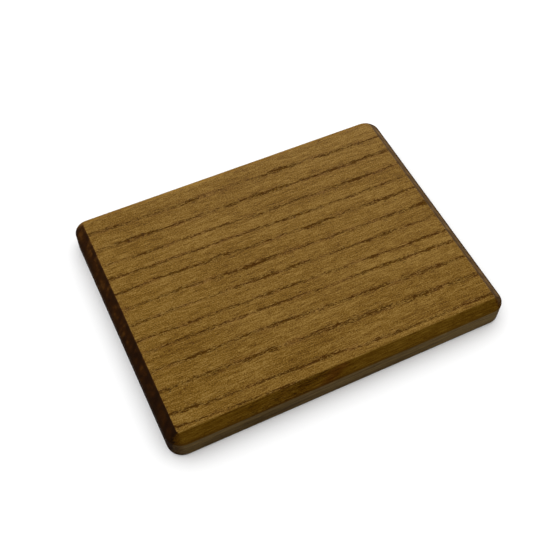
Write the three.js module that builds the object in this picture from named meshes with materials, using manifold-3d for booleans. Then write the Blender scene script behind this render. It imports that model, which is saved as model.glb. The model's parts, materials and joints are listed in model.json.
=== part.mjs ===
// A wall plaque: a solid hardwood board lying face up on four thin bumpers.
// Its back holds two recessed keyhole hanger plates, one for each way of hanging it.
// Millimetres. +X runs along the long side, +Y to the top edge when it hangs landscape,
// +Z out of the face. The origin is the middle of the footprint, on the surface it lies on.

import * as THREE from 'three';
import { mergeVertices } from 'three/addons/utils/BufferGeometryUtils.js';
import { ConvexGeometry } from 'three/addons/geometries/ConvexGeometry.js';
import Module from 'manifold-3d';

const wasm = await Module();
wasm.setup();

// Board
const BOARD_LENGTH = 228.6;
const BOARD_WIDTH = 177.8;
const BOARD_THICKNESS = 19.05;
const CORNER_RADIUS = 10;
const CHAMFER_RUN = 6.4;
const CHAMFER_DROP = 5.5;
const FACE_CORNER_RADIUS = 1.5;
const BACK_ARRIS = 0.6;
const CORNER_STEPS = 12;

// Bumpers
const BUMPER_THICKNESS = 1;
const BUMPER_RADIUS = 5.5;
const BUMPER_EDGE = 0.3;
const BUMPER_INSET = 15;
const BUMPER_STEPS = 40;

// Hanger plates: a round entry for the head of a wall screw, and a slot for its neck
const PLATE_LENGTH = 42;
const PLATE_WIDTH = 16;
const PLATE_THICKNESS = 1.25;
const PLATE_EDGE_DISTANCE = 30;
const ENTRY_RADIUS = 4.75;
const ENTRY_OFFSET = -6;
const SLOT_WIDTH = 4.8;
const SLOT_END_OFFSET = 5;
const SCREW_OFFSET = 15.5;
const SINK_RADIUS = 3.2;
const SINK_EXIT_RADIUS = SINK_RADIUS - PLATE_THICKNESS;
const ARC_STEPS = 20;

// Pockets in the back of the board
const POCKET_CLEARANCE = 0.3;
const HEAD_POCKET_RADIUS = 5.5;
const HEAD_POCKET_DEPTH = 6;
const PILOT_RADIUS = 1.45;
const PILOT_DEPTH = 12.5;

// Countersunk wood screws
const SCREW_HEAD_RADIUS = 2.75;
const SCREW_HEAD_SINK = 0.125;
const SCREW_SHANK_RADIUS = 1.15;
const SCREW_LENGTH = 12;
const SCREW_TIP = 2.2;
const SCREW_STEPS = 28;
const DRIVE_SPAN = 2.9;
const DRIVE_WIDTH = 0.62;
const DRIVE_DEPTH = 0.85;

const BACK_Z = BUMPER_THICKNESS;
const FACE_Z = BACK_Z + BOARD_THICKNESS;
const PLATE_SEAT_Z = BACK_Z + PLATE_THICKNESS;
const OVERCUT = 1;

const materials = {
  wood: new THREE.MeshStandardMaterial({ color: 0x7b5c2c, roughness: 0.5, metalness: 0 }),
  steel: new THREE.MeshStandardMaterial({ color: 0xa9aaa6, roughness: 0.35, metalness: 1 }),
  screw: new THREE.MeshStandardMaterial({ color: 0xb9ab84, roughness: 0.35, metalness: 1 }),
  rubber: new THREE.MeshStandardMaterial({ color: 0x2b241e, roughness: 0.8, metalness: 0 }),
};

// A closed geometry as a solid that can be cut.
function toSolid(geometry) {
  const bare = geometry.clone();
  bare.deleteAttribute('normal');
  bare.deleteAttribute('uv');
  const merged = mergeVertices(bare, 1e-4);
  const mesh = new wasm.Mesh({
    numProp: 3,
    vertProperties: Float32Array.from(merged.attributes.position.array),
    triVerts: Uint32Array.from(merged.index.array),
  });
  return new wasm.Manifold(mesh);
}

function toGeometry(solid) {
  const mesh = solid.getMesh();
  const geometry = new THREE.BufferGeometry();
  geometry.setAttribute('position', new THREE.BufferAttribute(mesh.vertProperties, 3));
  geometry.setIndex(new THREE.BufferAttribute(mesh.triVerts, 1));
  geometry.computeVertexNormals();
  return geometry;
}

// A body of revolution about Z from [radius, height] pairs that run upwards.
function turned(profile, steps) {
  const points = profile.map(([radius, height]) => new THREE.Vector2(radius, height));
  return new THREE.LatheGeometry(points, steps).rotateX(Math.PI / 2);
}

// A straight slot with round ends, along Y from `from` to `to`, as a flat outline.
function slotOutline(from, to, radius) {
  const outline = new THREE.Shape();
  outline.absarc(0, to, radius, 0, Math.PI, false);
  outline.absarc(0, from, radius, Math.PI, 2 * Math.PI, false);
  outline.closePath();
  return outline;
}

function extruded(outline, lowZ, highZ) {
  const options = { depth: highZ - lowZ, bevelEnabled: false, curveSegments: ARC_STEPS };
  return new THREE.ExtrudeGeometry(outline, options).translate(0, 0, lowZ);
}

// The corner points of a rounded rectangle at one height.
function rectanglePoints(length, width, radius, z) {
  const points = [];
  for (const [sideX, sideY, startAngle] of [[1, 1, 0], [-1, 1, 90], [-1, -1, 180], [1, -1, 270]]) {
    for (let step = 0; step <= CORNER_STEPS; step += 1) {
      const angle = THREE.MathUtils.degToRad(startAngle + (90 * step) / CORNER_STEPS);
      const x = sideX * (length / 2 - radius) + radius * Math.cos(angle);
      const y = sideY * (width / 2 - radius) + radius * Math.sin(angle);
      points.push(new THREE.Vector3(x, y, z));
    }
  }
  return points;
}

// Where each plate sits and which way its slot runs: turn 0 points the slot to +Y.
const hangers = [
  { name: 'landscape', x: 0, y: BOARD_WIDTH / 2 - PLATE_EDGE_DISTANCE, turn: 0 },
  { name: 'portrait', x: BOARD_LENGTH / 2 - PLATE_EDGE_DISTANCE, y: 0, turn: -Math.PI / 2 },
];
const screwPlaces = [
  { name: 'lower', offset: -SCREW_OFFSET },
  { name: 'upper', offset: SCREW_OFFSET },
];

function placed(geometry, hanger) {
  return geometry.clone().rotateZ(hanger.turn).translate(hanger.x, hanger.y, 0);
}

// Everything that is cut out of the back of the board for one hanger.
function hangerCutters() {
  const plateReach = PLATE_LENGTH / 2 - PLATE_WIDTH / 2;
  const recess = extruded(
    slotOutline(-plateReach, plateReach, PLATE_WIDTH / 2 + POCKET_CLEARANCE),
    BACK_Z - OVERCUT,
    PLATE_SEAT_Z,
  );
  const headPocket = extruded(
    slotOutline(ENTRY_OFFSET, SLOT_END_OFFSET, HEAD_POCKET_RADIUS),
    BACK_Z - OVERCUT,
    PLATE_SEAT_Z + HEAD_POCKET_DEPTH,
  );
  const mouthHeight = SINK_EXIT_RADIUS - PILOT_RADIUS;
  const pilot = turned(
    [
      [0, BACK_Z],
      [SINK_EXIT_RADIUS, BACK_Z],
      [SINK_EXIT_RADIUS, PLATE_SEAT_Z],
      [PILOT_RADIUS, PLATE_SEAT_Z + mouthHeight],
      [PILOT_RADIUS, PLATE_SEAT_Z + PILOT_DEPTH],
      [0, PLATE_SEAT_Z + PILOT_DEPTH + PILOT_RADIUS / 2],
    ],
    ARC_STEPS,
  );
  const pilots = screwPlaces.map(({ offset }) => pilot.clone().translate(0, offset, 0));
  return [recess, headPocket, ...pilots];
}

function makeBoard() {
  const shoulderZ = FACE_Z - CHAMFER_DROP;
  const body = new ConvexGeometry([
    ...rectanglePoints(
      BOARD_LENGTH - 2 * BACK_ARRIS,
      BOARD_WIDTH - 2 * BACK_ARRIS,
      CORNER_RADIUS - BACK_ARRIS,
      BACK_Z,
    ),
    ...rectanglePoints(BOARD_LENGTH, BOARD_WIDTH, CORNER_RADIUS, BACK_Z + BACK_ARRIS),
    ...rectanglePoints(BOARD_LENGTH, BOARD_WIDTH, CORNER_RADIUS, shoulderZ),
    ...rectanglePoints(
      BOARD_LENGTH - 2 * CHAMFER_RUN,
      BOARD_WIDTH - 2 * CHAMFER_RUN,
      FACE_CORNER_RADIUS,
      FACE_Z,
    ),
  ]);
  let board = toSolid(body);
  for (const hanger of hangers) {
    for (const cutter of hangerCutters()) {
      board = board.subtract(toSolid(placed(cutter, hanger)));
    }
  }
  return toGeometry(board);
}

function makePlate() {
  const plateReach = PLATE_LENGTH / 2 - PLATE_WIDTH / 2;
  const outline = slotOutline(-plateReach, plateReach, PLATE_WIDTH / 2);
  let plate = toSolid(extruded(outline, BACK_Z, PLATE_SEAT_Z));
  const low = BACK_Z - OVERCUT;
  const high = PLATE_SEAT_Z + OVERCUT;
  const entry = turned([[0, low], [ENTRY_RADIUS, low], [ENTRY_RADIUS, high], [0, high]], 2 * ARC_STEPS);
  const slot = extruded(slotOutline(ENTRY_OFFSET, SLOT_END_OFFSET, SLOT_WIDTH / 2), low, high);
  plate = plate.subtract(toSolid(entry.translate(0, ENTRY_OFFSET, 0)));
  plate = plate.subtract(toSolid(slot));
  for (const { offset } of screwPlaces) {
    const sink = turned(
      [[0, low], [SINK_RADIUS + OVERCUT, low], [SINK_EXIT_RADIUS - OVERCUT, high], [0, high]],
      2 * ARC_STEPS,
    );
    plate = plate.subtract(toSolid(sink.translate(0, offset, 0)));
  }
  return toGeometry(plate);
}

function makeScrew() {
  const headZ = BACK_Z + SCREW_HEAD_SINK;
  const neckZ = headZ + SCREW_HEAD_RADIUS - SCREW_SHANK_RADIUS;
  const tipZ = headZ + SCREW_LENGTH;
  const body = turned(
    [
      [0, headZ],
      [SCREW_HEAD_RADIUS, headZ],
      [SCREW_SHANK_RADIUS, neckZ],
      [SCREW_SHANK_RADIUS, tipZ - SCREW_TIP],
      [0, tipZ],
    ],
    SCREW_STEPS,
  );
  const height = 2 * DRIVE_DEPTH;
  const barX = new THREE.BoxGeometry(DRIVE_SPAN, DRIVE_WIDTH, height).translate(0, 0, headZ);
  const barY = new THREE.BoxGeometry(DRIVE_WIDTH, DRIVE_SPAN, height).translate(0, 0, headZ);
  return toGeometry(toSolid(body).subtract(toSolid(barX)).subtract(toSolid(barY)));
}

function makeBumper() {
  return turned(
    [
      [0, 0],
      [BUMPER_RADIUS - BUMPER_EDGE, 0],
      [BUMPER_RADIUS, BUMPER_EDGE],
      [BUMPER_RADIUS, BUMPER_THICKNESS],
      [0, BUMPER_THICKNESS],
    ],
    BUMPER_STEPS,
  );
}

const plaque = new THREE.Group();

function addPart(name, geometry, material) {
  const mesh = new THREE.Mesh(geometry, material);
  mesh.name = name;
  plaque.add(mesh);
}

addPart('plaque_board', makeBoard(), materials.wood);

for (const hanger of hangers) {
  addPart(`hanger_plate_${hanger.name}`, placed(makePlate(), hanger), materials.steel);
  for (const place of screwPlaces) {
    const screw = makeScrew().translate(0, place.offset, 0);
    addPart(`screw_${hanger.name}_${place.name}`, placed(screw, hanger), materials.screw);
  }
}

for (const [rowName, sideY] of [['upper', 1], ['lower', -1]]) {
  for (const [columnName, sideX] of [['left', -1], ['right', 1]]) {
    const x = sideX * (BOARD_LENGTH / 2 - BUMPER_INSET);
    const y = sideY * (BOARD_WIDTH / 2 - BUMPER_INSET);
    addPart(`bumper_${rowName}_${columnName}`, makeBumper().translate(x, y, 0), materials.rubber);
  }
}

export default plaque;
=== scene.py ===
"""Visual model of a hardwood wall plaque, lying face up on a pale table. Metres, +Z up."""

import json
import math
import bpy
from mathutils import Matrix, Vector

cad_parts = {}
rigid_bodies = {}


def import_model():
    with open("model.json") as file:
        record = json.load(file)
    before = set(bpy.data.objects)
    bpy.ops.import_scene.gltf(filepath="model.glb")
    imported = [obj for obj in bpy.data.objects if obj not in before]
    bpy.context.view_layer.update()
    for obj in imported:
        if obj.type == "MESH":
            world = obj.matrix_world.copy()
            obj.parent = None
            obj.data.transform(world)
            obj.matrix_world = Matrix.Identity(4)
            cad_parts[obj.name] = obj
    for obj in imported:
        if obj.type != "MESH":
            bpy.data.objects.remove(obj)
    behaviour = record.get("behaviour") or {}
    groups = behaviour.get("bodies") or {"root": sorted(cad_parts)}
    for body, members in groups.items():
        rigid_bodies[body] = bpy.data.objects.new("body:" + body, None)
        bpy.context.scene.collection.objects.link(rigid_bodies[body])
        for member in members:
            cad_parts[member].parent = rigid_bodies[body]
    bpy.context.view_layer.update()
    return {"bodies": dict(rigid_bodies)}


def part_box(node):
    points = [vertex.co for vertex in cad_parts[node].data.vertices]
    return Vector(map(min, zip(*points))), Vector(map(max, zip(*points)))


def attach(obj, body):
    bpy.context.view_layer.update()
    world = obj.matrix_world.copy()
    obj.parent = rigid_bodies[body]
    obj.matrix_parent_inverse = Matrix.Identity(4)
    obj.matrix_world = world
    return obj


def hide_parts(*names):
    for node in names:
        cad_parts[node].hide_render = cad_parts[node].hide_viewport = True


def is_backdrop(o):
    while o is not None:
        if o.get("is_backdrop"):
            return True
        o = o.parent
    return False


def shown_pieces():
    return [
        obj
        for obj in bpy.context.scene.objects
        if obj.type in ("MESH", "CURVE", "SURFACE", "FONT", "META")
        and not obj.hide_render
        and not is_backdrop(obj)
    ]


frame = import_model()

from types import SimpleNamespace

import bmesh
import bpy
from mathutils import Matrix, Quaternion, Vector, noise

BODY = next(iter(frame["bodies"]))
MM = 0.001

# Board
BOARD_LOW, BOARD_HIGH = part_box("plaque_board")
HALF_LENGTH = BOARD_HIGH.x
HALF_WIDTH = BOARD_HIGH.y
FACE_Z = BOARD_HIGH.z
BACK_Z = BOARD_LOW.z
CHAMFER_RUN = 6.4 * MM
CHAMFER_DROP = 5.5 * MM
SHOULDER_Z = FACE_Z - CHAMFER_DROP
CORNER_RADIUS = 10 * MM
FACE_CORNER_RADIUS = 1.5 * MM
FACE_ARRIS = 1.3 * MM
SHOULDER_ARRIS = 1.1 * MM
BACK_ARRIS = 0.6 * MM
ARRIS_STEPS = 4
EDGE_ROW = 1.5 * MM

# Face grid: fine cells at the corners, and cells that are long along the grain
FACE_MARGIN = 2.2 * MM
CORNER_CELLS = 8
CORNER_CELL = 0.3 * MM
CELL_ALONG_GRAIN = 4 * MM
CELL_ACROSS_GRAIN = 1 * MM
BACK_MARGIN = 4 * MM

# Hand finish: how far the sanded surface wanders from the true shape, and how often per metre
EDGE_WANDER = 0.06 * MM
EDGE_WANDER_RATE = 60
FACE_WANDER = 0.02 * MM
FACE_WANDER_RATE_X = 14
FACE_WANDER_RATE_Y = 40
FACE_WANDER_SLICE = 3.7
FACE_WANDER_FADE = 3 * MM
RING_TROUGH = 0.04 * MM
RING_TROUGH_SPREAD = 0.14

# Growth rings: where each ring's line of pores crosses the middle of the face, in mm across
# the board, from the front edge's side to the back edge's
RING_LINES = (
    -112, -98, -83.5, -75.5, -57.5, -42.5, -28.5, -20, -7, 5, 19, 30.5, 42, 56, 70.5, 86, 101, 115,
)
# How steeply the rings dip, how they slope along the board, and how far three noises bend them
RING_DIP = math.radians(36)
RING_SLOPE = 0.029
RING_SLOPE_CHANGE = -0.00018
RING_SWEEP_MM = 3.0
RING_WAVE_MM = 3.0
RING_JITTER_MM = 1.8

# A redder patch where the grain runs out on the front bevel: its middle's x and z in mm, how far
# it leans, and how ragged it is
PATCH_X = -9.0
PATCH_Z = 17.0
PATCH_LEAN = 2.6
PATCH_RAGGED = 14.0

# Hangers: each one's place on the back, and its turn in degrees
HANGER_INSET = 30 * MM
HANGERS = {
    "landscape": (Vector((0, HALF_WIDTH - HANGER_INSET, 0)), 0),
    "portrait": (Vector((HALF_LENGTH - HANGER_INSET, 0, 0)), -90),
}
PLATE_LENGTH = 42 * MM
PLATE_WIDTH = 16 * MM
PLATE_REACH = (PLATE_LENGTH - PLATE_WIDTH) / 2
PLATE_EDGE = 0.14 * MM
PLATE_EDGE_STEPS = 2
PLATE_EDGE_TURN = math.radians(40)
ENTRY_RADIUS = 4.75 * MM
ENTRY_OFFSET = -6 * MM
SLOT_WIDTH = 4.8 * MM
SLOT_END_OFFSET = 5 * MM
SINK_RADIUS = 3.2 * MM
POCKET_CLEARANCE = 0.3 * MM
HEAD_POCKET_RADIUS = 5.5 * MM
HEAD_POCKET_DEPTH = 6 * MM
PILOT_RADIUS = 1.45 * MM
PILOT_DEPTH = 12.5 * MM
ROUTED_LIP = 0.25 * MM
OVERCUT = MM
ARC_STEPS = 32

# Screws: how far each one is from the middle of its hanger, and its shape
SCREWS = {"lower": -15.5 * MM, "upper": 15.5 * MM}
SCREW_HEAD_RADIUS = 2.75 * MM
SCREW_RIM_INSET = 0.12 * MM
SCREW_RIM_HEIGHT = 0.1 * MM
SCREW_CONE_ROWS = 6
SCREW_CORE_RADIUS = 1.0 * MM
SCREW_THREAD_HEIGHT = 0.38 * MM
SCREW_THREAD_RUN_IN = MM
SCREW_THREAD_HALF_WIDTH = 0.32
SCREW_THREAD_SHARPNESS = 1.2
SCREW_PITCH = 1.3 * MM
SCREW_TIP = 2.2 * MM
SCREW_COLUMNS = 36
SCREW_ROW = 0.13 * MM
DRIVE_SPAN = 1.45 * MM
DRIVE_WIDTH = 0.31 * MM
DRIVE_DEPTH = 0.85 * MM
DRIVE_OVERCUT = 0.3 * MM
DRIVE_MOUTH_SCALE = 1.12
DRIVE_END_SCALE = 0.45

# Bumpers: the moulded edge as shares of the radius and the height, then the adhesive backing
BUMPER_CORNERS = ("upper_left", "upper_right", "lower_left", "lower_right")
BUMPER_EDGE = ((0.85, 0.0), (0.92, 0.03), (0.965, 0.12), (0.99, 0.27), (1.0, 0.46), (1.0, 0.8))
BACKING_SHARE = 0.965
BACKING_START = 0.84

# Creases: the least turn that stays sharp
SOFT_CREASE = math.radians(35)
SCREW_CREASE = math.radians(40)
BUMPER_CREASE = math.radians(50)

# Noise fields: grain size in mm along x, y and z; detail; roughness; shift
RING_SWEEP = ((70, 26, 26), 1, 0.5, 0)
RING_WAVE = ((16, 5, 5), 2, 0.5, 5)
RING_JITTER = ((5, 1.6, 1.6), 1, 0.5, 9)
PORE_PATCHES = ((20, 8, 8), 2, 0.5, 3)
LONG_PORES = ((5.5, 0.70, 0.70), 2, 0.6, 11)
SHORT_PORES = ((2.0, 0.5, 0.5), 2, 0.6, 17)
PALE_FLECKS = ((3.4, 0.5, 0.5), 2, 0.6, 23)
CRACKS = ((24, 0.6, 0.6), 2, 0.6, 19)
FIBRES = ((8, 0.45, 0.45), 3, 0.7, 29)
TOOTH = ((0.8, 0.5, 0.5), 2, 0.7, 47)
STREAKS = ((55, 2.4, 2.4), 2, 0.5, 31)
CLOUD = ((60, 20, 20), 2, 0.5, 37)
WARM_SPOTS = ((14, 5, 5), 2, 0.5, 59)
END_MOTTLE = ((2.4, 1.4, 1.4), 2, 0.6, 61)
END_SOAK = ((9, 4.2, 4.2), 3, 0.5, 41)
END_FLECKS = ((4, 0.5, 0.5), 2, 0.6, 53)
# A noise that breaks up the darker lines on the ends
LINE_BREAKUP = ((3, 7, 3), 2, 0.6, 67)
RAW_FIBRES = ((14, 0.5, 0.5), 3, 0.65, 43)
BRUSHING = ((6, 0.12, 0.12), 3, 0.6, 0)
PLATE_CLOUD = ((4, 4, 4), 3, 0.55, 7)
ZINC_DRIFT = ((1.6, 1.6, 1.6), 2, 0.5, 0)
ZINC_FINE = ((0.25, 0.25, 0.25), 2, 0.5, 13)
RUBBER_GRAIN = ((0.22, 0.22, 0.22), 3, 0.6, 0)
DUST = ((1.3, 1.3, 1.3), 3, 0.65, 19)

# Smooth steps: where each starts and ends, then its value before and after (0 and 1 if not given)
# On which way the surface faces
BEVELLED = (0.80, 0.96, 1, 0)
UPRIGHT = (0.15, 0.60, 1, 0)
FRONTAL = (-0.5, 0.1, 1, 0.15)
UNDERSIDE = (-0.9, -0.5, 0.45, 0)
RIGHTWARD = (-0.3, 0.3)
MATT_OFF_FACE = (0.8, 0.97, 0.85, 0)
CORNER_TURN = (0.15, 0.45)
END_RAGGED = (0.50, 0.95)
END_SURE = (0.86, 0.94)
SEAM_LINE = (0.01, 0.05, 1, 0)
# On the distance from a ring line, as a share of the ring's width
RING_HALO = (0.02, 0.22, 1, 0)
RING_PULL = (0.0, 0.21, 0.035, -0.21)
SOAKED_RING = (0.05, 0.30, 1, 0)
RAW_RING = (0.04, 0.25, 1, 0)
# On a noise field
LONG_PORE_RISE = (0.545, 0.585)
SHORT_PORE_RISE = (0.55, 0.60)
PORE_LIP_RISE = (0.45, 0.53)
PALE_FLECK_RISE = (0.53, 0.61)
CRACK_RISE = (0.58, 0.68)
WARM_RISE = (0.42, 0.66)
SOAKED_SPOT = (0.36, 0.56)
END_FLECK_RISE = (0.54, 0.66)
CORNER_PATCHES = (-0.12, 0.06, 0.75, 0.35)
# How strongly the darker lines on the ends show
LINE_BREAKUP_RANGE = (0.3, 0.55, 0.55, 0.85)
RAW_ROUGHNESS = (0.3, 0.7, 0.75, 0.9)
DUST_RISE = (0.55, 0.75)
# On a height or a distance, in mm
PATCH_FADE = (1.0, 10.0, 0.75, 0)
SHOULDER_LINE = (0.4, 1.2, 1, 0)
FACE_EDGE_LINE = (0.3, 0.8, 0.6, 0)
# Painted contact shadow: how the walls darken towards their foot
WALL_FOOT_SHADOW = (1.2, 3.4, -0.30, 0.02)
# Where the darker strip above the ends' shoulder begins and ends
LINE_STRIP_START = (-0.5, 0.1)
LINE_STRIP_END = (1.0, 2.2, 0.7, 0)
SEAM_START = (0.0, 0.8)

# Strengths: the weight of each effect
BEVEL_CALM = 0.6
PORE_PATCHINESS = 0.42
SHORT_PORE_DEPTH = 0.85
WARM_STRENGTH = 0.45
SHOULDER_STRENGTH = 0.45
DUST_STRENGTH = 0.25
END_RAGGEDNESS = 1.4
FIBRE_RELIEF = 0.4

# How fast the left end gets lighter along +Y, per mm
LEFT_END_DRIFT = 0.0030

# Where the corner seam lies between a long side (0) and an end (1), and the limit that keeps
# nearly flat surfaces from counting as ends
SEAM_AT = 0.93
LEAST_LEVEL = 0.25

# How far the dark line along the face's edge lies below the face, in mm
FACE_EDGE_DROP = 0.9

# Relief depths of the materials
PORE_DEPTH = 0.25 * MM
RAW_FIBRE_DEPTH = 0.12 * MM
BRUSHED_DEPTH = 0.008 * MM
ZINC_DEPTH = 0.01 * MM
RUBBER_DEPTH = 0.03 * MM

# Colour ramps: position and colour, from dark to light
STAIN = (
    (0.0, (0.0255, 0.0095, 0.0002)),
    (0.25, (0.0455, 0.0198, 0.0008)),
    (0.5, (0.0705, 0.0350, 0.0030)),
    (0.75, (0.0920, 0.0505, 0.0085)),
    (1.0, (0.1300, 0.0765, 0.0180)),
)
# Left end grain: darker, painted shade on the end that faces away from the lamp
LEFT_END_STAIN_IN_SHADE = (
    (0.0, (0.0075, 0.0024, 0.0006)),
    (0.5, (0.0165, 0.0052, 0.0007)),
    (0.9, (0.0380, 0.0142, 0.0020)),
)
# Right end grain: lighter, painted light on the end that faces the lamp
RIGHT_END_STAIN_IN_LIGHT = (
    (0.0, (0.0290, 0.0155, 0.0050)),
    (0.5, (0.0505, 0.0290, 0.0112)),
    (0.9, (0.0705, 0.0420, 0.0168)),
)
RAW_WOOD = (
    (0.1, (0.16, 0.085, 0.035)),
    (0.5, (0.36, 0.22, 0.105)),
    (0.9, (0.50, 0.33, 0.17)),
)
BRIGHT_ZINC = (
    (0.25, (0.40, 0.41, 0.42)),
    (0.5, (0.56, 0.565, 0.57)),
    (0.75, (0.66, 0.655, 0.63)),
)
YELLOW_ZINC = (
    (0.3, (0.52, 0.47, 0.27)),
    (0.5, (0.62, 0.50, 0.26)),
    (0.7, (0.60, 0.42, 0.25)),
)
RUBBER = (
    (0.3, (0.012, 0.009, 0.007)),
    (0.7, (0.034, 0.026, 0.02)),
)

# Single colours of the wood, and tints that multiply the tone below them
SHOULDER_TONE = (0.0330, 0.0130, 0.0010)
# A greyer wall tone: painted reflection of the pale floor on the sides, strongest on the front
WALL_TONE_WITH_REFLECTION = (0.0770, 0.0555, 0.0255)
BACK_TONE = (0.105, 0.068, 0.034)
# Tone of the darker lines on the ends
END_LINE_TONE = (0.0080, 0.0034, 0.0010)
DUST_TONE = (0.12, 0.10, 0.085)
WARM_TINT = (0.86, 0.72, 0.9)
# Painted shade: multiplies the bevels facing the front, away from the lamp, darker and more saturated
FRONT_BEVEL_SHADE_TINT = (0.765, 0.685, 0.29)
PATCH_TINT = (0.72, 0.50, 0.62)
CORNER_TINT = (0.50, 0.36, 0.25)
WOOD_SPECULAR = 0.015

# Stage
CAMERA_AIM = Vector((-3.1, -0.87, 0)) * MM
CAMERA_DISTANCE = 591.7 * MM
CAMERA_AZIMUTH = math.radians(-27.1)
CAMERA_ELEVATION = math.radians(56.2)
CAMERA_ROLL = math.radians(1.59)
CAMERA_LENS = 57.5
CAMERA_SENSOR = 36
KEY_DIRECTION = Vector((0.34, 0.72, 0.60))
KEY_DISTANCE = 1.8
KEY_SIZE = 1.5
KEY_POWER = 88
SKY_BRIGHT = 1.65
SKY_DIM = 0.2
SKY_BRIGHTEST = (0.07, 0.45, 0.89)
SKY_DIM_AT = -0.3
SKY_BRIGHT_AT = 0.9
BACKDROP = 1.1
FLOOR_SIZE = 80
FLOOR_TONE = (0.93, 0.93, 0.93)
FLOOR_ROUGHNESS = 0.9


# ---------------------------------------------------------------- mesh helpers

def new_object(name, bm):
    """An object in the scene from a finished bmesh."""
    mesh = bpy.data.meshes.new(name)
    bmesh.ops.recalc_face_normals(bm, faces=bm.faces)
    bm.to_mesh(mesh)
    bm.free()
    made = bpy.data.objects.new(name, mesh)
    bpy.context.scene.collection.objects.link(made)
    return made


def apply_modifiers(piece):
    """Turns a piece's modifiers into plain mesh."""
    depsgraph = bpy.context.evaluated_depsgraph_get()
    old = piece.data
    piece.data = bpy.data.meshes.new_from_object(piece.evaluated_get(depsgraph))
    piece.data.name = piece.name
    piece.modifiers.clear()
    bpy.data.meshes.remove(old)


def combine(piece, other, operation="DIFFERENCE"):
    """Cuts another solid out of a piece, or joins it on, and removes the other."""
    boolean = piece.modifiers.new("combine", "BOOLEAN")
    boolean.operation = operation
    boolean.solver = "EXACT"
    boolean.material_mode = "TRANSFER"
    boolean.object = other
    apply_modifiers(piece)
    bpy.data.objects.remove(other)


def give(piece, material):
    """Makes a material the piece's only one."""
    piece.data.materials.clear()
    piece.data.materials.append(material)


def soften(piece, width, segments, angle):
    """Rounds every edge that turns by more than the angle."""
    bevel = piece.modifiers.new("bevel", "BEVEL")
    bevel.width = width
    bevel.segments = segments
    bevel.limit_method = "ANGLE"
    bevel.angle_limit = angle
    bevel.harden_normals = False
    apply_modifiers(piece)


def shade(piece, angle=SOFT_CREASE):
    """Smooth shading with creases where the surface really turns."""
    piece.data.shade_smooth()
    piece.data.set_sharp_from_angle(angle=angle)


def band(bm, low, high):
    """Faces between two closed rows of equally many vertices."""
    for i in range(len(low)):
        j = (i + 1) % len(low)
        bm.faces.new((low[i], low[j], high[j], high[i]))


def prism(name, outline, low_z, high_z, lip=0):
    """A straight solid on a closed outline. A lip widens it at the low end, as a broken edge."""
    bm = bmesh.new()
    levels = [(low_z, 0), (high_z, 0)]
    if lip:
        levels = [(low_z, lip), (BACK_Z, lip), (BACK_Z + lip, 0), (high_z, 0)]
    centre = sum(outline, Vector((0, 0))) / len(outline)
    rows = []
    for z, grow in levels:
        row = []
        for point in outline:
            out = (point - centre).normalized() * grow
            row.append(bm.verts.new((point.x + out.x, point.y + out.y, z)))
        rows.append(row)
    for low, high in zip(rows, rows[1:]):
        band(bm, low, high)
    bm.faces.new(rows[0][::-1])
    bm.faces.new(rows[-1])
    return new_object(name, bm)


def lathe(name, profile, steps=ARC_STEPS * 2):
    """A body of revolution about Z from (radius, height) pairs; the ends lie on the axis."""
    bm = bmesh.new()
    rows = []
    for radius, z in profile:
        if radius == 0:
            rows.append([bm.verts.new((0, 0, z))])
            continue
        row = []
        for i in range(steps):
            turn = math.tau * i / steps
            row.append(bm.verts.new((radius * math.cos(turn), radius * math.sin(turn), z)))
        rows.append(row)
    for low, high in zip(rows, rows[1:]):
        for i in range(steps):
            j = (i + 1) % steps
            corners = [low[i % len(low)], low[j % len(low)]]
            corners += [high[j % len(high)], high[i % len(high)]]
            bm.faces.new(list(dict.fromkeys(corners)))
    return new_object(name, bm)


def arc(centre_x, centre_y, radius, start, end, steps=ARC_STEPS):
    """Points along an arc; the angles are in degrees."""
    points = []
    for i in range(steps + 1):
        turn = math.radians(start + (end - start) * i / steps)
        points.append(Vector((centre_x + radius * math.cos(turn),
                              centre_y + radius * math.sin(turn))))
    return points


def slot_outline(low_y, high_y, radius):
    """A slot with round ends, along Y."""
    return arc(0, high_y, radius, 0, 180) + arc(0, low_y, radius, 180, 360)


def keyhole_outline():
    """The round entry run into the slot."""
    half = SLOT_WIDTH / 2
    open_angle = math.degrees(math.asin(half / ENTRY_RADIUS))
    entry = arc(0, ENTRY_OFFSET, ENTRY_RADIUS, 90 + open_angle, 450 - open_angle, 2 * ARC_STEPS)
    return entry + arc(0, SLOT_END_OFFSET, half, 0, 180)


def fillet_profile(corners, steps=ARRIS_STEPS):
    """Rounds the corners of an open profile of (inset, height, radius) points."""
    points = [Vector(corners[0][:2])]
    for before, corner, after in zip(corners, corners[1:], corners[2:]):
        tip = Vector(corner[:2])
        back = (Vector(before[:2]) - tip).normalized()
        ahead = (Vector(after[:2]) - tip).normalized()
        half_angle = back.angle(ahead) / 2
        run = corner[2] / math.tan(half_angle)
        centre = tip + (back + ahead).normalized() * corner[2] / math.sin(half_angle)
        first = tip + back * run - centre
        last = tip + ahead * run - centre
        for i in range(steps + 1):
            points.append(centre + first.slerp(last, i / steps) * corner[2])
    points.append(Vector(corners[-1][:2]))
    return points


# ---------------------------------------------------------------- the board

def axis_places(half, cell):
    """Grid places from -half to half, with finer cells at both ends."""
    fine = [half - CORNER_CELL * i for i in range(CORNER_CELLS)]
    inner = half - CORNER_CELL * CORNER_CELLS
    count = round(2 * inner / cell)
    middle = [-inner + 2 * inner * i / count for i in range(count + 1)]
    return [-place for place in fine] + middle + fine[::-1]


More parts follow.
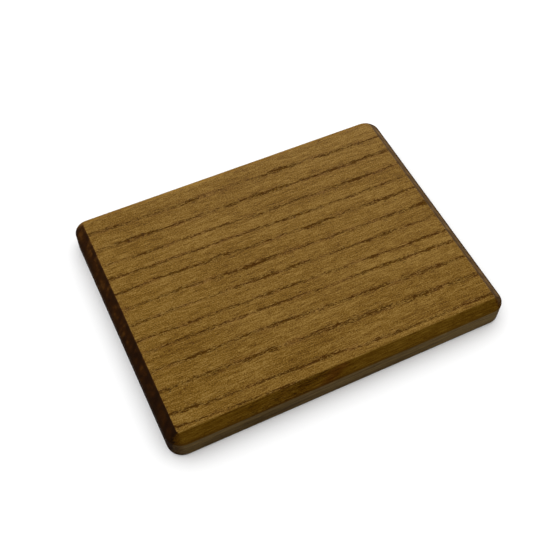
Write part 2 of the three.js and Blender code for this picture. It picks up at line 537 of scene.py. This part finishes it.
def outline_point(i, j, places_x, places_y, half_x, half_y, radius):
    """Where the grid's boundary vertex (i, j) lies on a rounded rectangle."""
    last_i, last_j = len(places_x) - 1, len(places_y) - 1
    side_x = -1 if i < last_i / 2 else 1
    side_y = -1 if j < last_j / 2 else 1
    from_corner_x = min(i, last_i - i)
    from_corner_y = min(j, last_j - j)
    on_long_side = j in (0, last_j)
    steps = from_corner_x if on_long_side else from_corner_y
    straight_x, straight_y = half_x - radius, half_y - radius
    if steps >= CORNER_CELLS:
        if on_long_side:
            share = places_x[i] / places_x[-1 - CORNER_CELLS]
            return Vector((share * straight_x, side_y * half_y))
        share = places_y[j] / places_y[-1 - CORNER_CELLS]
        return Vector((side_x * half_x, share * straight_y))
    tilt = math.radians(45) * (1 - steps / CORNER_CELLS)
    along, across = math.sin(tilt), math.cos(tilt)
    turn_x, turn_y = (along, across) if on_long_side else (across, along)
    return Vector((side_x * (straight_x + radius * turn_x),
                   side_y * (straight_y + radius * turn_y)))


def ring_place(x, y, z):
    """Where a point's growth ring crosses the middle of the face, in mm across the board."""
    x, y, depth = x / MM, y / MM, (FACE_Z - z) / MM
    return y + depth / math.tan(RING_DIP) + x * (RING_SLOPE + RING_SLOPE_CHANGE * y)


def ring_phase(place):
    """The number of ring lines passed, with the fraction to the next."""
    for i, (low, high) in enumerate(zip(RING_LINES, RING_LINES[1:])):
        if place < high:
            return i + (place - low) / (high - low)
    return float(len(RING_LINES) - 1)


def face_dip(x, y):
    """How far the face lies below its true plane: troughs along the pore lines, soft unevenness."""
    phase = ring_phase(ring_place(x, y, FACE_Z))
    from_line = phase - round(phase)
    trough = RING_TROUGH * math.exp(-(from_line / RING_TROUGH_SPREAD) ** 2)
    spot = Vector((x * FACE_WANDER_RATE_X, y * FACE_WANDER_RATE_Y, FACE_WANDER_SLICE))
    uneven = FACE_WANDER * (1 + noise.noise(spot))
    edge_x = HALF_LENGTH - CHAMFER_RUN - FACE_MARGIN - abs(x)
    edge_y = HALF_WIDTH - CHAMFER_RUN - FACE_MARGIN - abs(y)
    fade = min(1, max(0, min(edge_x, edge_y)) / FACE_WANDER_FADE)
    return fade * (trough + uneven)


def board_profile():
    """The edge from the face down to the back, as (inset, height, outline corner radius)."""
    grid_inset = CHAMFER_RUN + FACE_MARGIN
    rounded = fillet_profile([
        (grid_inset, FACE_Z, 0),
        (CHAMFER_RUN, FACE_Z, FACE_ARRIS),
        (0, SHOULDER_Z, SHOULDER_ARRIS),
        (0, BACK_Z, BACK_ARRIS),
        (BACK_MARGIN, BACK_Z, 0),
    ])
    rings = []
    for before, after in zip(rounded[1:], rounded[2:]):
        count = max(1, round((after - before).length / EDGE_ROW))
        rings += [before.lerp(after, i / count) for i in range(count)]
    rings.append(rounded[-1])
    profile = []
    for inset, z in rings:
        if z > SHOULDER_Z - SHOULDER_ARRIS:
            spread = min(1, inset / CHAMFER_RUN)
            radius = CORNER_RADIUS + (FACE_CORNER_RADIUS - CORNER_RADIUS) * spread
        else:
            radius = CORNER_RADIUS - inset
        profile.append((inset, z, radius))
    return profile


def board_face(bm, places_x, places_y):
    """The face as a grid of vertices."""
    grid = {}
    for i, x in enumerate(places_x):
        for j, y in enumerate(places_y):
            grid[i, j] = bm.verts.new((x, y, FACE_Z - face_dip(x, y)))
    for i in range(len(places_x) - 1):
        for j in range(len(places_y) - 1):
            bm.faces.new((grid[i, j], grid[i + 1, j], grid[i + 1, j + 1], grid[i, j + 1]))
    return grid


def grid_boundary(last_i, last_j):
    """The places round the grid's edge, anticlockwise."""
    loop = [(i, 0) for i in range(last_i)]
    loop += [(last_i, j) for j in range(last_j)]
    loop += [(i, last_j) for i in range(last_i, 0, -1)]
    loop += [(0, j) for j in range(last_j, 0, -1)]
    return loop


def edge_row(bm, loop, places_x, places_y, inset, z, radius):
    """One row of vertices round the board, pulled in a little where the sanding bit."""
    half_x, half_y = HALF_LENGTH - inset, HALF_WIDTH - inset
    row = []
    for i, j in loop:
        true = outline_point(i, j, places_x, places_y, half_x, half_y, radius)
        sample = noise.noise(Vector((true.x, true.y, z)) * EDGE_WANDER_RATE)
        wander = 0 if z in (FACE_Z, BACK_Z) else EDGE_WANDER * (0.5 + 0.5 * sample)
        point = true - true.normalized() * wander
        row.append(bm.verts.new((point.x, point.y, z)))
    return row


def make_board_body():
    """The whole board, before anything is cut from its back."""
    bm = bmesh.new()
    places_x = axis_places(HALF_LENGTH - CHAMFER_RUN - FACE_MARGIN, CELL_ALONG_GRAIN)
    places_y = axis_places(HALF_WIDTH - CHAMFER_RUN - FACE_MARGIN, CELL_ACROSS_GRAIN)
    grid = board_face(bm, places_x, places_y)
    loop = grid_boundary(len(places_x) - 1, len(places_y) - 1)
    inner = [grid[place] for place in loop]
    for inset, z, radius in board_profile():
        outer = edge_row(bm, loop, places_x, places_y, inset, z, radius)
        for k in range(len(loop)):
            m = (k + 1) % len(loop)
            bm.faces.new((inner[k], outer[k], outer[m], inner[m]))
        inner = outer
    bm.faces.new(inner)
    return new_object("board_wood", bm)


# ---------------------------------------------------------------- the hangers

def put_in_place(piece, hanger, along=0):
    """Moves a piece made about the axis of a hanger into that hanger's place."""
    spot, turn = HANGERS[hanger]
    move = Matrix.Translation(spot) @ Matrix.Rotation(math.radians(turn), 4, "Z")
    piece.data.transform(move @ Matrix.Translation((0, along, 0)))
    return piece


def seat_z(hanger):
    """Where a hanger plate's inner face meets the wood."""
    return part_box(f"hanger_plate_{hanger}")[1].z


def make_pilot(seat, offset):
    """A screw's pilot hole, with room for the cone of its head below the plate."""
    low = BACK_Z - OVERCUT
    mouth = SINK_RADIUS - (seat - BACK_Z)
    pilot = lathe("pilot", [
        (0, low),
        (mouth, low),
        (mouth, seat),
        (PILOT_RADIUS, seat + mouth - PILOT_RADIUS),
        (PILOT_RADIUS, seat + PILOT_DEPTH),
        (0, seat + PILOT_DEPTH + PILOT_RADIUS / 2),
    ])
    pilot.data.transform(Matrix.Translation((0, offset, 0)))
    return pilot


def make_hanger_room(hanger):
    """A plate's recess, the pocket for the wall screw's head, and two pilot holes, as one solid."""
    low, seat = BACK_Z - OVERCUT, seat_z(hanger)
    recess_outline = slot_outline(-PLATE_REACH, PLATE_REACH, PLATE_WIDTH / 2 + POCKET_CLEARANCE)
    recess = prism("recess", recess_outline, low, seat, lip=ROUTED_LIP)
    pocket_outline = slot_outline(ENTRY_OFFSET, SLOT_END_OFFSET, HEAD_POCKET_RADIUS)
    combine(recess, prism("pocket", pocket_outline, low, seat + HEAD_POCKET_DEPTH), "UNION")
    for offset in SCREWS.values():
        combine(recess, make_pilot(seat, offset), "UNION")
    return put_in_place(recess, hanger)


def make_sink(low, high, offset):
    """The cone that a screw's head sits in, cut through a plate."""
    sink = lathe("sink", [
        (0, low - OVERCUT),
        (SINK_RADIUS + OVERCUT, low - OVERCUT),
        (SINK_RADIUS - (high - low) - OVERCUT, high + OVERCUT),
        (0, high + OVERCUT),
    ])
    sink.data.transform(Matrix.Translation((0, offset, 0)))
    return sink


def make_plate(hanger):
    """A stamped steel plate with a keyhole and two countersunk holes."""
    low, high = BACK_Z, seat_z(hanger)
    outline = slot_outline(-PLATE_REACH, PLATE_REACH, PLATE_WIDTH / 2)
    plate = prism(f"hanger_plate_{hanger}_steel", outline, low, high)
    combine(plate, prism("keyhole", keyhole_outline(), low - OVERCUT, high + OVERCUT))
    for offset in SCREWS.values():
        combine(plate, make_sink(low, high, offset))
    soften(plate, PLATE_EDGE, PLATE_EDGE_STEPS, PLATE_EDGE_TURN)
    return put_in_place(plate, hanger)


def thread_ridge(turns):
    """Height of a screw thread between 0 and 1; the crest is at each whole turn."""
    from_crest = abs(turns - round(turns))
    return max(0, 1 - from_crest / SCREW_THREAD_HALF_WIDTH) ** SCREW_THREAD_SHARPNESS


def screw_profile(head_z, neck_z, tip_z):
    """The screw without its thread, from the head to just short of the tip, as (radius, height)."""
    rim_z = head_z + SCREW_RIM_HEIGHT
    rows = [(SCREW_HEAD_RADIUS - SCREW_RIM_INSET, head_z), (SCREW_HEAD_RADIUS, rim_z)]
    for i in range(1, SCREW_CONE_ROWS + 1):
        drop = i * (neck_z - rim_z) / SCREW_CONE_ROWS
        rows.append((SCREW_HEAD_RADIUS - drop, rim_z + drop))
    count = round((tip_z - neck_z) / SCREW_ROW)
    for i in range(1, count):
        z = neck_z + (tip_z - neck_z) * i / count
        rows.append((SCREW_CORE_RADIUS * min(1, (tip_z - z) / SCREW_TIP), z))
    return rows


def make_screw(hanger, which):
    """A countersunk wood screw with a cross recess and a real thread."""
    low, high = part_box(f"screw_{hanger}_{which}")
    head_z, tip_z = low.z, high.z
    neck_z = head_z + SCREW_HEAD_RADIUS - SCREW_CORE_RADIUS
    bm = bmesh.new()
    meshed = []
    for radius, z in screw_profile(head_z, neck_z, tip_z):
        run_in = min(1, max(0, (z - neck_z - SCREW_THREAD_RUN_IN) / SCREW_THREAD_RUN_IN))
        run_out = min(1, (tip_z - z) / SCREW_TIP)
        row = []
        for i in range(SCREW_COLUMNS):
            turn = i / SCREW_COLUMNS
            ridge = thread_ridge((z - neck_z) / SCREW_PITCH - turn) * run_in * run_out
            r = radius + SCREW_THREAD_HEIGHT * ridge
            row.append(bm.verts.new((r * math.cos(math.tau * turn), r * math.sin(math.tau * turn), z)))
        meshed.append(row)
    for first, second in zip(meshed, meshed[1:]):
        band(bm, first, second)
    bm.faces.new(meshed[0][::-1])
    tip = bm.verts.new((0, 0, tip_z))
    for i in range(SCREW_COLUMNS):
        bm.faces.new((meshed[-1][i], meshed[-1][(i + 1) % SCREW_COLUMNS], tip))
    screw = new_object(f"screw_{hanger}_{which}_zinc", bm)
    combine(screw, cross_recess(head_z))
    shade(screw, SCREW_CREASE)
    return put_in_place(screw, hanger, SCREWS[which])


def cross_recess(head_z):
    """A cross that narrows as it goes in."""
    bm = bmesh.new()
    arm = ((DRIVE_WIDTH, DRIVE_WIDTH), (DRIVE_WIDTH, DRIVE_SPAN), (-DRIVE_WIDTH, DRIVE_SPAN))
    mouth = (head_z - DRIVE_OVERCUT, DRIVE_MOUTH_SCALE)
    end = (head_z + DRIVE_DEPTH, DRIVE_END_SCALE)
    rows = []
    for z, scale in (mouth, end):
        row = []
        for quarter in range(4):
            turn = Matrix.Rotation(math.radians(90 * quarter), 2)
            for corner in arm:
                spot = turn @ Vector(corner)
                row.append(bm.verts.new((spot.x * scale, spot.y * scale, z)))
        rows.append(row)
    band(bm, *rows)
    bm.faces.new(rows[0][::-1])
    bm.faces.new(rows[1])
    return new_object("cross", bm)


# ---------------------------------------------------------------- the bumpers

def make_bumper(corner):
    """A moulded rubber disc on a thin adhesive backing."""
    low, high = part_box(f"bumper_{corner}")
    centre = (low + high) / 2
    radius = (high.x - low.x) / 2
    backing_radius = radius * BACKING_SHARE
    profile = [(0, 0)]
    profile += [(radius * share, high.z * height) for share, height in BUMPER_EDGE]
    profile += [(backing_radius, high.z * BACKING_START), (backing_radius, high.z), (0, high.z)]
    bumper = lathe(f"bumper_{corner}_rubber", profile)
    bumper.data.transform(Matrix.Translation((centre.x, centre.y, 0)))
    shade(bumper, BUMPER_CREASE)
    return bumper


# ---------------------------------------------------------------- materials

class Shader:
    """One material's node tree, built from short calls."""

    def __init__(self, name):
        self.material = bpy.data.materials.new(name)
        self.material.use_nodes = True
        self.tree = self.material.node_tree
        self.tree.nodes.clear()
        output = self.node("ShaderNodeOutputMaterial")
        self.surface = self.node("ShaderNodeBsdfPrincipled")
        self.tree.links.new(self.surface.outputs["BSDF"], output.inputs["Surface"])

    def node(self, kind, **settings):
        made = self.tree.nodes.new(kind)
        for key, value in settings.items():
            setattr(made, key, value)
        return made

    def feed(self, socket, value):
        """A socket takes a plain value or another node's output."""
        if isinstance(value, bpy.types.NodeSocket):
            self.tree.links.new(value, socket)
        else:
            socket.default_value = value

    def math(self, operation, *values):
        made = self.node("ShaderNodeMath", operation=operation)
        for socket, value in zip(made.inputs, values):
            self.feed(socket, value)
        return made.outputs[0]

    def vector_math(self, operation, *values):
        made = self.node("ShaderNodeVectorMath", operation=operation)
        for socket, value in zip(made.inputs, values):
            self.feed(socket, value)
        return made.outputs[0]

    def total(self, base, *parts):
        """A base with weighted values added to it, given as (value, weight) pairs."""
        for value, weight in parts:
            base = self.math("MULTIPLY_ADD", value, weight, base)
        return base

    def distance(self, value, other):
        return self.math("ABSOLUTE", self.math("SUBTRACT", value, other))

    def place_mm(self):
        """The place on the object, in mm."""
        coordinates = self.node("ShaderNodeTexCoord").outputs["Object"]
        return self.vector_math("MULTIPLY", coordinates, (1 / MM,) * 3)

    def split(self, vector):
        made = self.node("ShaderNodeSeparateXYZ")
        self.feed(made.inputs[0], vector)
        return made.outputs[0], made.outputs[1], made.outputs[2]

    def noise(self, place, field):
        """A noise field from 0 to 1."""
        size, detail, roughness, shift = field
        scaled = self.vector_math("DIVIDE", place, size)
        moved = self.vector_math("ADD", scaled, (shift, shift * 0.7, shift * 1.3))
        made = self.node("ShaderNodeTexNoise")
        self.feed(made.inputs["Vector"], moved)
        made.inputs["Scale"].default_value = 1
        made.inputs["Detail"].default_value = detail
        made.inputs["Roughness"].default_value = roughness
        return made.outputs["Fac"]

    def centred(self, value):
        return self.math("SUBTRACT", value, 0.5)

    def swing(self, place, field):
        """A noise field about 0."""
        return self.centred(self.noise(place, field))

    def step(self, value, low, high, from_value=0.0, to_value=1.0):
        """A smooth change from one value to another as the input goes from low to high."""
        made = self.node("ShaderNodeMapRange", interpolation_type="SMOOTHSTEP")
        for name, number in (("Value", value), ("From Min", low), ("From Max", high),
                             ("To Min", from_value), ("To Max", to_value)):
            self.feed(made.inputs[name], number)
        return made.outputs[0]

    def ramp(self, value, stops):
        """A colour from (position, colour) stops."""
        made = self.node("ShaderNodeValToRGB")
        elements = made.color_ramp.elements
        while len(elements) < len(stops):
            elements.new(0.5)
        for element, (position, colour) in zip(elements, sorted(stops)):
            element.position = position
            element.color = (*colour, 1)
        self.feed(made.inputs[0], value)
        return made.outputs[0]

    def mix(self, factor, first, second, blend="MIX"):
        made = self.node("ShaderNodeMix", data_type="RGBA", blend_type=blend)
        colours = [socket for socket in made.inputs if socket.type == "RGBA"]
        self.feed(made.inputs[0], factor)
        for socket, colour in zip(colours, (first, second)):
            self.feed(socket, (*colour, 1) if isinstance(colour, tuple) else colour)
        return [socket for socket in made.outputs if socket.type == "RGBA"][0]

    def tint(self, tone, colour, amount):
        """A tone multiplied by a colour, as far as the amount says."""
        return self.mix(amount, tone, self.mix(1.0, tone, colour, "MULTIPLY"))

    def bump(self, height, depth):
        """Relief whose full height is depth metres."""
        made = self.node("ShaderNodeBump")
        made.inputs["Distance"].default_value = depth
        self.feed(made.inputs["Height"], height)
        self.feed(self.surface.inputs["Normal"], made.outputs[0])

    def set(self, **values):
        for name, value in values.items():
            self.feed(self.surface.inputs[name.replace("_", " ")], value)


def ring_offset(s, place):
    """The signed distance from the nearest ring line, as a share of the ring's width."""
    x, y, z = s.split(place)
    depth = s.math("SUBTRACT", FACE_Z / MM, z)
    slope = s.total(RING_SLOPE, (y, RING_SLOPE_CHANGE))
    followed = s.total(
        y,
        (depth, 1 / math.tan(RING_DIP)),
        (x, slope),
        (s.swing(place, RING_SWEEP), RING_SWEEP_MM),
        (s.swing(place, RING_WAVE), RING_WAVE_MM),
        (s.swing(place, RING_JITTER), RING_JITTER_MM),
    )
    low, high = RING_LINES[0], RING_LINES[-1]
    share = s.math("DIVIDE", s.math("SUBTRACT", followed, low), high - low)
    last = len(RING_LINES) - 1
    stops = [((line - low) / (high - low), (i / last,) * 3) for i, line in enumerate(RING_LINES)]
    phase = s.math("MULTIPLY", s.ramp(share, stops), last)
    return s.math("SUBTRACT", phase, s.math("ROUND", phase))


def facing_masks(s):
    """Which way the surface faces."""
    normal_x, normal_y, normal_z = s.split(s.node("ShaderNodeTexCoord").outputs["Normal"])
    flat = s.math("ABSOLUTE", normal_z)
    level = s.math("SQRT", s.math("SUBTRACT", 1.0, s.math("MULTIPLY", normal_z, normal_z)))
    bevelled = s.step(flat, *BEVELLED)
    return SimpleNamespace(
        flat=flat,
        bevelled=bevelled,
        calm=s.total(1.0, (bevelled, -BEVEL_CALM)),
        upright=s.step(flat, *UPRIGHT),
        frontal=s.step(normal_y, *FRONTAL),
        underside=s.step(normal_z, *UNDERSIDE),
        rightward=s.step(normal_x, *RIGHTWARD),
        endward=s.math("DIVIDE", s.math("ABSOLUTE", normal_x), s.math("MAXIMUM", level, LEAST_LEVEL)),
    )


def grain_marks(s, place, calm):
    """What the wood shows along its grain; marks are fainter where `calm` is low."""
    away = s.math("ABSOLUTE", ring_offset(s, place))
    halo = s.step(away, *RING_HALO)
    pull = s.total(s.step(away, *RING_PULL), (s.swing(place, PORE_PATCHES), PORE_PATCHINESS))

    def dashes(field, rise):
        """Marks along the grain that crowd together on the ring lines."""
        return s.step(s.math("ADD", s.noise(place, field), pull), *rise)

    short_pores = s.math("MULTIPLY", dashes(SHORT_PORES, SHORT_PORE_RISE), SHORT_PORE_DEPTH)
    pores = s.math("MAXIMUM", dashes(LONG_PORES, LONG_PORE_RISE), short_pores)
    flecks = dashes(PALE_FLECKS, PALE_FLECK_RISE)
    lips = s.math("MAXIMUM", dashes(LONG_PORES, PORE_LIP_RISE), flecks)
    cracks = s.step(s.noise(place, CRACKS), *CRACK_RISE)
    return SimpleNamespace(
        away=away,
        halo=halo,
        pores=s.math("MULTIPLY", pores, calm),
        lips=s.math("MULTIPLY", lips, s.math("SUBTRACT", 1.0, pores)),
        cracks=s.math("MULTIPLY", cracks, s.total(0.4, (halo, 0.6))),
        fibres=s.noise(place, FIBRES),
        tooth=s.math("MULTIPLY", s.swing(place, TOOTH), calm),
        streaks=s.swing(place, STREAKS),
    )


def long_grain_tone(s, place, marks):
    """Golden brown stain, darker in the pores and warmer along some ring lines."""
    light = s.total(
        0.55,
        (s.centred(marks.fibres), 2.1),
        (marks.tooth, 2.4),
        (marks.streaks, 0.5),
        (s.swing(place, CLOUD), 0.5),
        (marks.halo, -0.10),
        (marks.cracks, -0.22),
        (marks.lips, 0.26),
        (marks.pores, -0.58),
    )
    warmth = s.math("MULTIPLY", marks.halo, s.step(s.noise(place, WARM_SPOTS), *WARM_RISE))
    return s.tint(s.ramp(light, STAIN), WARM_TINT, s.math("MULTIPLY", warmth, WARM_STRENGTH))


def add_front_bevel(s, tone, place, facing, marks):
    """Painted shade on the front bevel, which faces away from the lamp, its redder patch, and a dark
    line along the shoulder.
    """
    x, _, z = s.split(place)
    shaded_front_bevel = s.math("MULTIPLY", facing.bevelled, facing.frontal)
    # Painted shade: the front bevel, facing away from the lamp, darker and more saturated
    tone = s.tint(tone, FRONT_BEVEL_SHADE_TINT, shaded_front_bevel)
    patch_x = s.total(PATCH_X, (s.math("SUBTRACT", z, PATCH_Z), PATCH_LEAN))
    off_patch = s.total(s.distance(x, patch_x), (marks.streaks, PATCH_RAGGED))
    patch = s.math("MULTIPLY", s.step(off_patch, *PATCH_FADE), shaded_front_bevel)
    tone = s.tint(tone, PATCH_TINT, patch)
    shoulder = s.step(s.distance(z, SHOULDER_Z / MM), *SHOULDER_LINE)
    return s.mix(s.math("MULTIPLY", shoulder, SHOULDER_STRENGTH), tone, SHOULDER_TONE)


def add_walls(s, tone, place, facing, marks):
    """The back is duller and greyer, and the sides greyer, with long streaks and a dark foot. On the
    sides the greyness is a painted reflection of the pale floor, strongest on the front; every wall is
    painted lighter towards the right and the top, and the dark foot is a painted contact shadow.
    """
    x, _, z = s.split(place)
    # Wall grain with painted light: lighter towards the right (x) and the top (z)
    wall = s.total(
        0.86,
        (s.centred(marks.fibres), 2.2),
        (marks.streaks, 2.2),
        (x, 0.0011),
        (z, 0.024),
    )
    # Painted contact shadow along the foot of the walls
    wall = s.math("ADD", wall, s.step(z, *WALL_FOOT_SHADOW))
    # Painted reflection of the floor, strongest on the walls facing the front
    painted_reflection = s.math("MULTIPLY", facing.upright, s.total(0.22, (facing.frontal, 0.40)))
    tone = s.mix(painted_reflection, tone, s.mix(1.0, WALL_TONE_WITH_REFLECTION, wall, "MULTIPLY"))
    return s.mix(facing.underside, tone, s.mix(1.0, BACK_TONE, wall, "MULTIPLY"))


def end_grain_tone(s, place, facing, marks):
    """The two ends soaked up more stain, most of all on the ring lines; the left one is darker with
    painted shade, as it faces away from the lamp, and the right one lighter with painted light.
    """
    _, y, _ = s.split(place)
    soak = s.noise(place, END_SOAK)
    soaked = s.math("MULTIPLY", s.step(marks.away, *SOAKED_RING), s.step(soak, *SOAKED_SPOT))
    light = s.total(
        0.44,
        (s.centred(soak), 2.1),
        (s.step(s.noise(place, END_FLECKS), *END_FLECK_RISE), 0.10),
        (soaked, -0.35),
    )
    # Painted shade on the left end, painted light on the right end
    shaded_left_tone = s.ramp(s.total(light, (y, LEFT_END_DRIFT)), LEFT_END_STAIN_IN_SHADE)
    lit_right_tone = s.ramp(light, RIGHT_END_STAIN_IN_LIGHT)
    return s.mix(facing.rightward, shaded_left_tone, lit_right_tone)


def end_dark_lines(s, place, facing):
    """Darker lines on the ends: a strip above the shoulder, a line along the face's edge and lines in
    the corner seams, broken up by a noise.
    """
    _, _, z = s.split(place)
    above = s.math("SUBTRACT", z, SHOULDER_Z / MM)
    strip = s.math("MULTIPLY", s.step(above, *LINE_STRIP_START), s.step(above, *LINE_STRIP_END))
    face_edge = s.step(s.distance(z, FACE_Z / MM - FACE_EDGE_DROP), *FACE_EDGE_LINE)
    seam = s.step(s.distance(facing.endward, SEAM_AT), *SEAM_LINE)
    seam = s.math("MULTIPLY", seam, s.step(above, *SEAM_START))
    dark_lines = s.math("MAXIMUM", s.math("MAXIMUM", strip, face_edge), seam)
    return s.math("MULTIPLY", dark_lines, s.step(s.noise(place, LINE_BREAKUP), *LINE_BREAKUP_RANGE))


def add_end_grain(s, tone, place, facing, marks):
    """The long grain breaks up round the corners and gives way to end grain."""
    mottle = s.swing(place, END_MOTTLE)
    corner, patches = s.step(facing.endward, *CORNER_TURN), s.step(mottle, *CORNER_PATCHES)
    turning = s.math("MULTIPLY", corner, patches)
    tone = s.tint(tone, CORNER_TINT, s.math("MULTIPLY", turning, facing.bevelled))
    ragged = s.step(s.total(facing.endward, (mottle, END_RAGGEDNESS)), *END_RAGGED)
    end_grain = s.math("MAXIMUM", ragged, s.step(facing.endward, *END_SURE))
    end_tone = end_grain_tone(s, place, facing, marks)
    end_tone = s.mix(end_dark_lines(s, place, facing), end_tone, END_LINE_TONE)
    return s.mix(end_grain, tone, end_tone)


def make_stained_wood():
    """Ring-porous hardwood, stained golden brown: lines of open pores, fibres, dark end grain."""
    s = Shader("stained_hardwood")
    place = s.place_mm()
    facing = facing_masks(s)
    marks = grain_marks(s, place, facing.calm)
    tone = long_grain_tone(s, place, marks)
    tone = add_front_bevel(s, tone, place, facing, marks)
    tone = add_walls(s, tone, place, facing, marks)
    tone = add_end_grain(s, tone, place, facing, marks)
    rough = s.total(0.50, (marks.pores, 0.35), (s.centred(marks.fibres), 0.3))
    rough = s.math("MAXIMUM", rough, s.step(facing.flat, *MATT_OFF_FACE))
    s.set(Base_Color=tone, Roughness=rough, Specular_IOR_Level=WOOD_SPECULAR)
    relief = s.total(s.math("MULTIPLY", marks.fibres, FIBRE_RELIEF), (marks.pores, -1.0))
    s.bump(relief, PORE_DEPTH)
    return s.material


def make_raw_wood():
    """The same wood where it was routed after staining: pale, dry and a little torn."""
    s = Shader("raw_routed_wood")
    place = s.place_mm()
    away = s.math("ABSOLUTE", ring_offset(s, place))
    fibres = s.noise(place, RAW_FIBRES)
    light = s.total(s.math("ADD", fibres, 0.1), (s.step(away, *RAW_RING), -0.3))
    s.set(Base_Color=s.ramp(light, RAW_WOOD), Roughness=s.step(fibres, *RAW_ROUGHNESS))
    s.bump(fibres, RAW_FIBRE_DEPTH)
    return s.material


def make_plated_steel():
    """Bright zinc plate with fine brushing and faint clouding."""
    s = Shader("zinc_plated_steel")
    place = s.place_mm()
    brushed = s.noise(place, BRUSHING)
    cloud = s.noise(place, PLATE_CLOUD)
    tone = s.ramp(s.total(s.math("MULTIPLY", cloud, 0.7), (brushed, 0.3)), BRIGHT_ZINC)
    rough = s.total(0.14, (brushed, 0.12), (cloud, 0.22))
    s.set(Base_Color=tone, Roughness=rough, Metallic=1.0)
    s.bump(brushed, BRUSHED_DEPTH)
    return s.material


def make_yellow_zinc():
    """Yellow-passivated zinc: straw gold drifting to a greener and a redder tint."""
    s = Shader("yellow_zinc")
    place = s.place_mm()
    fine = s.noise(place, ZINC_FINE)
    tone = s.ramp(s.noise(place, ZINC_DRIFT), YELLOW_ZINC)
    s.set(Base_Color=tone, Roughness=s.total(0.2, (fine, 0.25)), Metallic=1.0)
    s.bump(fine, ZINC_DEPTH)
    return s.material


def make_rubber():
    """Dark brown moulded rubber with a fine matt grain and a little dust."""
    s = Shader("moulded_rubber")
    place = s.place_mm()
    grain = s.noise(place, RUBBER_GRAIN)
    dust = s.step(s.noise(place, DUST), *DUST_RISE)
    tone = s.mix(s.math("MULTIPLY", dust, DUST_STRENGTH), s.ramp(grain, RUBBER), DUST_TONE)
    s.set(Base_Color=tone, Roughness=s.total(0.62, (grain, 0.2)))
    s.bump(grain, RUBBER_DEPTH)
    return s.material


# ---------------------------------------------------------------- the stage

def make_floor():
    bm = bmesh.new()
    half = FLOOR_SIZE / 2
    corners = ((-half, -half), (half, -half), (half, half), (-half, half))
    bm.faces.new([bm.verts.new((x, y, 0)) for x, y in corners])
    floor = new_object("floor", bm)
    s = Shader("pale_floor")
    s.set(Base_Color=(*FLOOR_TONE, 1), Roughness=FLOOR_ROUGHNESS, Specular_IOR_Level=0.0)
    give(floor, s.material)
    floor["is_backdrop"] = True


def make_key():
    """A broad soft lamp high up behind the board."""
    lamp = bpy.data.lights.new("key", "AREA")
    lamp.shape = "SQUARE"
    lamp.size = KEY_SIZE
    lamp.energy = KEY_POWER
    key = bpy.data.objects.new("key", lamp)
    key.location = KEY_DIRECTION.normalized() * KEY_DISTANCE
    key.rotation_mode = "QUATERNION"
    key.rotation_quaternion = KEY_DIRECTION.to_track_quat("Z", "Y")
    bpy.context.scene.collection.objects.link(key)
    return key


def light_only_pieces(key):
    """Keeps the key lamp off the floor, which the sky lights."""
    lit = bpy.data.collections.new("lit_by_key")
    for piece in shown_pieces():
        lit.objects.link(piece)
    key.light_linking.receiver_collection = lit


def make_sky():
    """A white studio, brighter at the back, that the camera sees as an even white."""
    world = bpy.data.worlds.new("studio")
    world.use_nodes = True
    nodes, links = world.node_tree.nodes, world.node_tree.links
    direction = nodes.new("ShaderNodeTexCoord").outputs["Generated"]
    towards = nodes.new("ShaderNodeVectorMath")
    towards.operation = "DOT_PRODUCT"
    towards.inputs[1].default_value = SKY_BRIGHTEST
    links.new(direction, towards.inputs[0])
    strength = nodes.new("ShaderNodeMapRange")
    strength.inputs["From Min"].default_value = SKY_DIM_AT
    strength.inputs["From Max"].default_value = SKY_BRIGHT_AT
    strength.inputs["To Min"].default_value = SKY_DIM
    strength.inputs["To Max"].default_value = SKY_BRIGHT
    links.new(towards.outputs["Value"], strength.inputs["Value"])
    seen = nodes.new("ShaderNodeMix")
    seen.inputs["B"].default_value = BACKDROP
    links.new(nodes.new("ShaderNodeLightPath").outputs["Is Camera Ray"], seen.inputs["Factor"])
    links.new(strength.outputs[0], seen.inputs["A"])
    background = nodes["Background"]
    background.inputs["Color"].default_value = (1, 1, 1, 1)
    links.new(seen.outputs[0], background.inputs["Strength"])
    bpy.context.scene.world = world


def make_camera():
    back = Vector((
        math.sin(CAMERA_AZIMUTH) * math.cos(CAMERA_ELEVATION),
        -math.cos(CAMERA_AZIMUTH) * math.cos(CAMERA_ELEVATION),
        math.sin(CAMERA_ELEVATION),
    ))
    lens = bpy.data.cameras.new("camera")
    lens.lens = CAMERA_LENS
    lens.sensor_width = CAMERA_SENSOR
    camera = bpy.data.objects.new("camera", lens)
    camera.location = CAMERA_AIM + back * CAMERA_DISTANCE
    camera.rotation_mode = "QUATERNION"
    camera.rotation_quaternion = back.to_track_quat("Z", "Y") @ Quaternion((0, 0, 1), CAMERA_ROLL)
    bpy.context.scene.collection.objects.link(camera)
    bpy.context.scene.camera = camera
    bpy.context.scene.view_settings.view_transform = "Standard"


# ---------------------------------------------------------------- everything together

def stand_for(piece, node):
    """The piece is seen in place of a CAD node, and moves with its body."""
    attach(piece, BODY)
    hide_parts(node)


def add_hanger(board, hanger, raw_wood, plated_steel, yellow_zinc):
    """Routs the board for one hanger, then adds its plate and screws."""
    room = make_hanger_room(hanger)
    give(room, raw_wood)
    combine(board, room)
    plate = make_plate(hanger)
    shade(plate)
    give(plate, plated_steel)
    stand_for(plate, f"hanger_plate_{hanger}")
    for which in SCREWS:
        screw = make_screw(hanger, which)
        give(screw, yellow_zinc)
        stand_for(screw, f"screw_{hanger}_{which}")


def add_bumpers(rubber):
    for corner in BUMPER_CORNERS:
        bumper = make_bumper(corner)
        give(bumper, rubber)
        stand_for(bumper, f"bumper_{corner}")


make_floor()
key = make_key()
make_sky()
make_camera()

board = make_board_body()
give(board, make_stained_wood())
hanger_materials = make_raw_wood(), make_plated_steel(), make_yellow_zinc()
for hanger in HANGERS:
    add_hanger(board, hanger, *hanger_materials)
shade(board)
stand_for(board, "plaque_board")
add_bumpers(make_rubber())
light_only_pieces(key)
